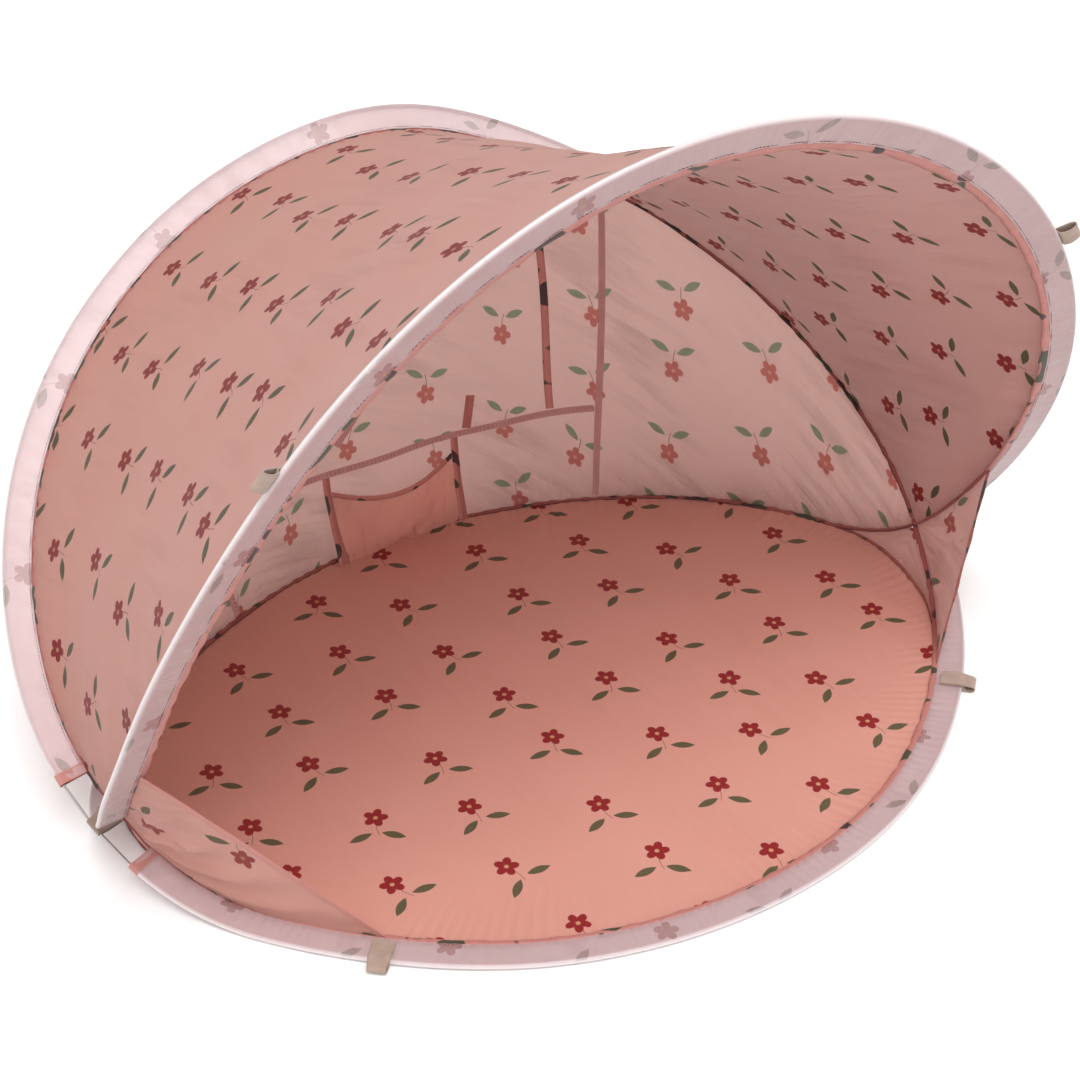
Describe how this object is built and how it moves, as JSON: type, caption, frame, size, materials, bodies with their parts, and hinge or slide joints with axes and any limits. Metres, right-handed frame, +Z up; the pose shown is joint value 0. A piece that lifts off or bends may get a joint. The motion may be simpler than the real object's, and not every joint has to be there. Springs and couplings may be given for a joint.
{
  "type": "beach tent",
  "caption": "Pop-up beach tent for small children: crossing spring wire rings in cloth sleeves, a saddle canopy, a back wall with a pocket, a sewn-in floor and webbing loops.",
  "frame": {"origin": "on the ground, on the underside of the floor, in the middle of the tent's width and 25 mm behind the line through the two crossings of the rings", "axes": "+Z up, +X from the left crossing to the right one as seen from the open front, -Y out of the open front"},
  "size_m": [1.2488, 0.9748, 0.8919],
  "materials": {
    "canopy_cloth": "thin woven polyester, printed",
    "wall_cloth": "thin woven polyester, printed",
    "floor_cloth": "coated polyester, printed",
    "sleeve_cloth": "thin see-through woven polyester",
    "piping_cloth": "woven binding tape, stitched",
    "webbing": "ribbed polypropylene webbing",
    "spring_steel": "drawn spring wire"
  },
  "bodies": {
    "root": {"front_floor_wire": "spring_steel", "front_floor_ferrule": "spring_steel", "front_floor_sleeve": "sleeve_cloth", "front_floor_piping": "piping_cloth", "floor_sheet": "floor_cloth", "side_wall_left": "wall_cloth", "side_wall_right": "wall_cloth", "corner_web_left": "canopy_cloth", "corner_web_right": "canopy_cloth", "web_hem_left": "piping_cloth", "web_hem_right": "piping_cloth", "crossing_strap_left": "webbing", "crossing_strap_right": "webbing"},
    "back_edge": {"back_floor_wire": "spring_steel", "back_floor_ferrule": "spring_steel", "back_floor_sleeve": "sleeve_cloth", "back_floor_piping": "piping_cloth"},
    "rear_arch": {"rear_arch_wire": "spring_steel", "rear_arch_sleeve": "sleeve_cloth", "rear_arch_piping": "piping_cloth", "back_wall": "wall_cloth", "pocket_front": "canopy_cloth", "pocket_rim": "piping_cloth", "pocket_binding_left": "piping_cloth", "pocket_binding_right": "piping_cloth", "wall_tape_low": "piping_cloth", "wall_tape_left": "piping_cloth", "wall_tape_right": "piping_cloth", "tie_strap": "piping_cloth", "tie_stub": "piping_cloth", "short_strap": "piping_cloth"},
    "front_arch": {"front_arch_wire": "spring_steel", "front_arch_sleeve": "sleeve_cloth", "front_arch_piping": "piping_cloth", "canopy": "canopy_cloth"},
    "front_peg_left": {"front_peg_loop_left": "webbing"},
    "front_peg_right": {"front_peg_loop_right": "webbing"},
    "rear_peg_left": {"rear_peg_loop_left": "webbing"},
    "rear_peg_right": {"rear_peg_loop_right": "webbing"},
    "guy_left": {"guy_loop_left": "webbing"},
    "guy_right": {"guy_loop_right": "webbing"}
  },
  "joints": [
    {"name": "back_edge_fold", "type": "hinge", "parent": "root", "child": "back_edge", "pos_m": [0, -0.025, 0.063], "axis": [1, 0, 0], "range_deg": [0, 156], "stiffness_Nm_per_rad": 1.5, "deforming": ["floor_sheet", "side_wall_left", "side_wall_right"]},
    {"name": "rear_arch_fold", "type": "hinge", "parent": "back_edge", "child": "rear_arch", "pos_m": [0, -0.025, 0.063], "axis": [1, 0, 0], "range_deg": [-46, 0], "deforming": ["back_wall", "pocket_front", "pocket_rim", "pocket_binding_left", "pocket_binding_right", "wall_tape_low", "wall_tape_left", "wall_tape_right", "tie_strap", "tie_stub", "short_strap"]},
    {"name": "front_arch_fold", "type": "hinge", "parent": "rear_arch", "child": "front_arch", "pos_m": [0, -0.025, 0.063], "axis": [1, 0, 0], "range_deg": [-64, 0], "deforming": ["canopy", "corner_web_left", "corner_web_right", "web_hem_left", "web_hem_right", "crossing_strap_left", "crossing_strap_right"]},
    {"name": "front_peg_left_lift", "type": "hinge", "parent": "root", "child": "front_peg_left", "pos_m": [-0.38098, -0.29931, 0.00827], "axis": [-0.7642, 0.645, -0.0064], "range_deg": [0, 90], "stiffness_Nm_per_rad": 0.02},
    {"name": "front_peg_right_lift", "type": "hinge", "parent": "root", "child": "front_peg_right", "pos_m": [0.43232, -0.25192, 0.00788], "axis": [-0.7045, -0.7097, 0], "range_deg": [0, 90], "stiffness_Nm_per_rad": 0.02},
    {"name": "rear_peg_left_lift", "type": "hinge", "parent": "back_edge", "child": "rear_peg_left", "pos_m": [-0.45497, 0.20889, 0.00876], "axis": [0.6999, 0.714, 0.0179], "range_deg": [0, 60], "stiffness_Nm_per_rad": 0.02},
    {"name": "rear_peg_right_lift", "type": "hinge", "parent": "back_edge", "child": "rear_peg_right", "pos_m": [0.45497, 0.20889, 0.00876], "axis": [0.6999, -0.714, -0.0179], "range_deg": [0, 60], "stiffness_Nm_per_rad": 0.02},
    {"name": "guy_left_lift", "type": "hinge", "parent": "front_arch", "child": "guy_left", "pos_m": [-0.44903, -0.29644, 0.62837], "axis": [-0.5818, 0.1629, -0.7968], "range_deg": [0, 60], "stiffness_Nm_per_rad": 0.02},
    {"name": "guy_right_lift", "type": "hinge", "parent": "front_arch", "child": "guy_right", "pos_m": [0.44903, -0.29644, 0.62837], "axis": [-0.5818, -0.1629, 0.7968], "range_deg": [0, 60], "stiffness_Nm_per_rad": 0.02}
  ],
  "couplings": [
    {"joint": "rear_arch_fold", "follows": "back_edge_fold", "ratio": -0.2948},
    {"joint": "front_arch_fold", "follows": "back_edge_fold", "ratio": -0.4102}
  ]
}
